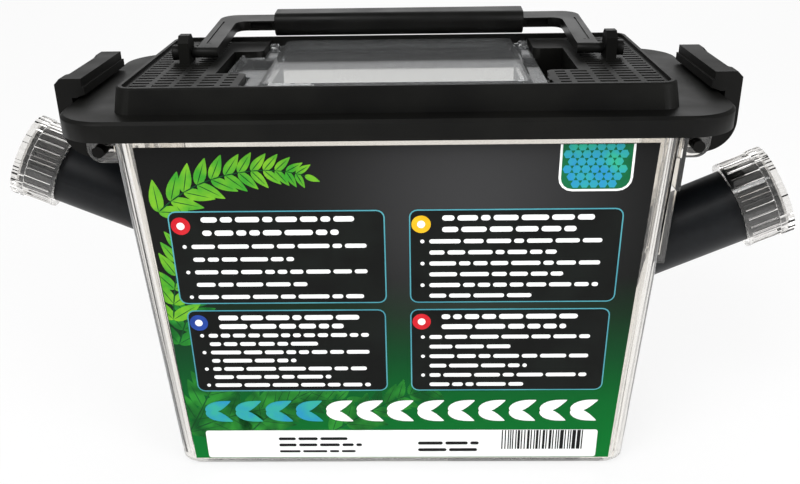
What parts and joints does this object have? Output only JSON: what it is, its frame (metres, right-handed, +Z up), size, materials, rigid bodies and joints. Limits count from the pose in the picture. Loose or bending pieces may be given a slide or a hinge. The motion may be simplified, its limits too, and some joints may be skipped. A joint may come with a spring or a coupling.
{
  "type": "cricket keeper box",
  "caption": "Clear tapered tank with a vented latching lid, a hinged window, a folding handle and slanted capped tubes in its ends.",
  "frame": {"origin": "middle of the tank's flat base, on the surface it stands on", "axes": "+X to the right end, +Y to the back, +Z up"},
  "size_m": [0.2288, 0.081, 0.1235],
  "materials": {
    "clear_plastic": "clear injection-moulded polystyrene, glossy",
    "black_plastic": "satin moulded polypropylene",
    "tube_plastic": "satin extruded tube",
    "printed_sheet": "glossy printed film"
  },
  "bodies": {
    "root": {"tank": "clear_plastic", "lid": "black_plastic", "latch_pin_left": "black_plastic", "latch_pin_right": "black_plastic", "shutter_left": "clear_plastic", "shutter_right": "clear_plastic", "water_dish": "black_plastic", "food_dish": "black_plastic", "front_label": "printed_sheet"},
    "window": {"window_door": "clear_plastic"},
    "handle": {"handle": "black_plastic", "handle_grip": "black_plastic", "handle_pin_left": "black_plastic", "handle_pin_right": "black_plastic"},
    "latch_left": {"latch_left": "black_plastic"},
    "latch_right": {"latch_right": "black_plastic"},
    "tube_left": {"tube_left": "tube_plastic"},
    "tube_right": {"tube_right": "tube_plastic"},
    "cap_left": {"cap_left": "clear_plastic"},
    "cap_right": {"cap_right": "clear_plastic"},
    "water_cover": {"water_cover": "black_plastic"}
  },
  "joints": [
    {"name": "handle_fold", "type": "hinge", "parent": "root", "child": "handle", "pos_m": [0, 0.001, 0.1177], "axis": [1, 0, 0], "range_deg": [0, 172.8]},
    {"name": "window_hinge", "type": "hinge", "parent": "root", "child": "window", "pos_m": [0, 0.02702, 0.1127], "axis": [-1, 0, 0], "range_deg": [0, 60]},
    {"name": "latch_left_swing", "type": "hinge", "parent": "root", "child": "latch_left", "pos_m": [-0.0789, 0, 0.0966], "axis": [0, -1, 0], "range_deg": [0, 60]},
    {"name": "latch_right_swing", "type": "hinge", "parent": "root", "child": "latch_right", "pos_m": [0.0789, 0, 0.0966], "axis": [0, 1, 0], "range_deg": [0, 60]},
    {"name": "tube_left_slide", "type": "slide", "parent": "root", "child": "tube_left", "axis": [-0.915, 0, 0.4035], "range_m": [-0.01, 0.11]},
    {"name": "tube_right_slide", "type": "slide", "parent": "root", "child": "tube_right", "axis": [0.915, 0, 0.4035], "range_m": [0, 0.12]},
    {"name": "cap_left_pull", "type": "slide", "parent": "tube_left", "child": "cap_left", "axis": [-0.915, 0, 0.4035], "range_m": [0, 0.014]},
    {"name": "cap_right_pull", "type": "slide", "parent": "tube_right", "child": "cap_right", "axis": [0.915, 0, 0.4035], "range_m": [0, 0.014]},
    {"name": "water_cover_lift", "type": "slide", "parent": "root", "child": "water_cover", "axis": [0, 0, 1], "range_m": [0, 0.015]}
  ]
}
